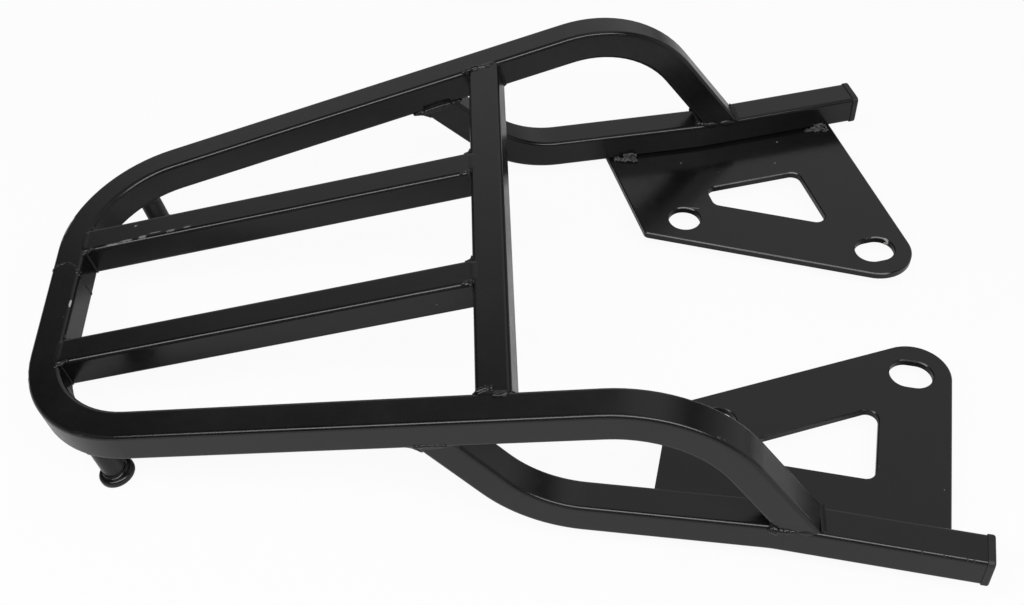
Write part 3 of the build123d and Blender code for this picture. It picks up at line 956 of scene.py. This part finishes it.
class RACK_OT_leave_lumps(Operator):
    """Leave small lumps along one tube edge, a scar on one bend and a curl of metal in one slot, light as
    bare steel and partly a painted glint
    """

    bl_idname = "rack.leave_lumps"
    bl_label = "Paint lumps"

    def execute(self, context):
        rng = weld_rng("lumps")
        outward = UP.cross(FRONT_DIR)
        drops = []
        for run, size in EDGE_LUMPS:
            spot = KINK + FRONT_DIR * run + (outward + UP) * (HALF - EDGE_CUT)
            drops += blobs(rng, [spot], outward + UP, size)
        lay_weld("edge_lumps_right", drops, -1)
        scar = [Vector(point) for point in BEND_SCAR]
        lay_weld("bend_scar_right", rope(rng, scar, outward * SCAR_LEAN + UP, *SCAR_ROPE), -1)
        curl = [Vector(point) for point in SLOT_BURR]
        # Light bare steel over the curl: partly worn metal, partly a painted glint
        bare = ("steel", (curl[2], (0, 0, 0), BURR_GLINT_REACH, BURR_GLINT_GRAIN, BURR_GLINT_FILL))
        paint("bare_burr_glint", (bare,), settings("rack_welds").burr)
        drops = rope(rng, curl, SLOT_FACING, *BURR_ROPE)
        lay_weld("slot_burr_left", drops, 1, settled=BURR_SETTLED, finish="bare_burr_glint")
        return {"FINISHED"}


class RACK_OT_set_stage(Operator):
    """Set the floor, the lamp, the world and the camera"""

    bl_idname = "rack.set_stage"
    bl_label = "Stage"

    def execute(self, context):
        stage = settings("rack_stage")
        context.scene.view_settings.view_transform = "Standard"
        self.lay_floor(stage)
        self.light_world(context.scene, stage)
        self.hang_lamp("key_softbox", KEY_PLACE, KEY_AIM, KEY_SIZE, stage.key_power)
        bpy.ops.object.camera_add(location=stage.camera)
        camera = context.object
        camera.name = "photo_camera"
        view = Vector(stage.aim) - Vector(stage.camera)
        camera.matrix_world = (
            Matrix.Translation(stage.camera)
            @ view.to_track_quat("-Z", "Y").to_matrix().to_4x4()
            @ Matrix.Rotation(stage.roll, 4, "Z")
        )
        camera.data.lens = stage.lens
        camera.data.sensor_width = SENSOR
        camera.data.clip_start = 0.01
        context.scene.camera = camera
        return {"FINISHED"}

    def lay_floor(self, stage):
        """A white floor that keeps a faint shadow of the rack."""
        bpy.ops.object.select_all(action="DESELECT")
        bpy.ops.mesh.primitive_circle_add(
            vertices=FLOOR_SIDES, radius=FLOOR_RADIUS, fill_type="NGON", location=(0, 0, FLOOR_LEVEL)
        )
        floor = bpy.context.object
        floor.name = "floor"
        bpy.ops.object.transform_apply(location=True, rotation=True, scale=True)
        material = bpy.data.materials.new("floor_white")
        material.use_nodes = True
        tree = material.node_tree
        tree.nodes.remove(tree.nodes["Principled BSDF"])
        matt = add_node(tree, "ShaderNodeBsdfDiffuse")
        matt.inputs["Color"].default_value = (*stage.floor, 1)
        glow = add_node(tree, "ShaderNodeEmission")
        seen = self.seen_white(tree)
        mix = add_node(tree, "ShaderNodeMixShader")
        tree.links.new(math_node(tree, "MULTIPLY", seen, stage.glow), mix.inputs[0])
        tree.links.new(matt.outputs[0], mix.inputs[1])
        tree.links.new(glow.outputs[0], mix.inputs[2])
        tree.links.new(mix.outputs[0], tree.nodes["Material Output"].inputs["Surface"])
        floor.data.materials.append(material)

    def seen_white(self, tree):
        """Mask of the rays that see the stage as plain white: the camera's and those through glass."""
        path = add_node(tree, "ShaderNodeLightPath")
        return math_node(tree, "MAXIMUM", path.outputs["Is Camera Ray"], path.outputs["Is Transmission Ray"])

    def light_world(self, scene, stage):
        """A sky that is white as seen, and has dark flags and light cards in the paint's reflections."""
        world = bpy.data.worlds.new("studio")
        scene.world = world
        world.use_nodes = True
        tree = world.node_tree
        coords = add_node(tree, "ShaderNodeTexCoord")
        split = add_node(tree, "ShaderNodeSeparateXYZ")
        tree.links.new(coords.outputs["Generated"], split.inputs[0])
        height = math_node(tree, "MULTIPLY", split.outputs["Z"], SKY_SLOPE)
        lit = ramp(tree, math_node(tree, "SUBTRACT", split.outputs["X"], height), *SKY_EDGE)
        for axis, start, end, least in SKY_FLAGS:
            lit = math_node(tree, "MULTIPLY", lit, ramp(tree, split.outputs[axis], start, end, least))
        for axis, start, end, level in SKY_CARDS:
            lit = math_node(tree, "ADD", lit, ramp(tree, split.outputs[axis], start, end, 0.0, level))
        sky = blend(tree, lit, [stage.sky_dark] * 3, [stage.sky_light] * 3)
        seen = self.seen_white(tree)
        color = blend(tree, seen, sky, (1, 1, 1))
        tree.links.new(color, tree.nodes["Background"].inputs["Color"])

    def hang_lamp(self, name, place, aim, size, power):
        """A softbox by its place, the point it faces, its size and its power."""
        bpy.ops.object.light_add(type="AREA", location=place)
        lamp = bpy.context.object
        lamp.name = name
        lamp.rotation_euler = (Vector(aim) - Vector(place)).to_track_quat("-Z", "Y").to_euler()
        lamp.data.shape = "RECTANGLE"
        lamp.data.size, lamp.data.size_y = size
        lamp.data.energy = power


class RACK_PT_finish(Panel):
    """Rack finish in the sidebar of the 3D view"""

    bl_label = "Rack finish"
    bl_space_type = "VIEW_3D"
    bl_region_type = "UI"
    bl_category = "Rack"

    def draw(self, context):
        for group in GROUPS:
            box = self.layout.box()
            for prop in getattr(context.scene, group).bl_rna.properties:
                if prop.identifier not in {"rna_type", "name"}:
                    box.prop(getattr(context.scene, group), prop.identifier)
        for operator in OPERATORS:
            self.layout.operator(operator.bl_idname)


GROUPS = {"rack_paint": RackPaint, "rack_welds": RackWelds, "rack_stage": RackStage}
OPERATORS = (
    RACK_OT_paint_steel, RACK_OT_fit_caps, RACK_OT_weld_slats, RACK_OT_weld_crossbar, RACK_OT_weld_legs,
    RACK_OT_weld_braces, RACK_OT_weld_pegs, RACK_OT_tack_plates, RACK_OT_weld_seam, RACK_OT_leave_lumps,
    RACK_OT_set_stage,
)


def register():
    for cls in (*GROUPS.values(), *OPERATORS, RACK_PT_finish):
        bpy.utils.register_class(cls)
    for name, cls in GROUPS.items():
        setattr(bpy.types.Scene, name, PointerProperty(type=cls))


def unregister():
    for name in GROUPS:
        delattr(bpy.types.Scene, name)
    for cls in reversed((*GROUPS.values(), *OPERATORS, RACK_PT_finish)):
        bpy.utils.unregister_class(cls)


def main():
    """Registers the add-on and runs its operators in order."""
    register()
    for operator in OPERATORS:
        family, action = operator.bl_idname.split(".")
        getattr(getattr(bpy.ops, family), action)()


if __name__ == "__main__":
    main()
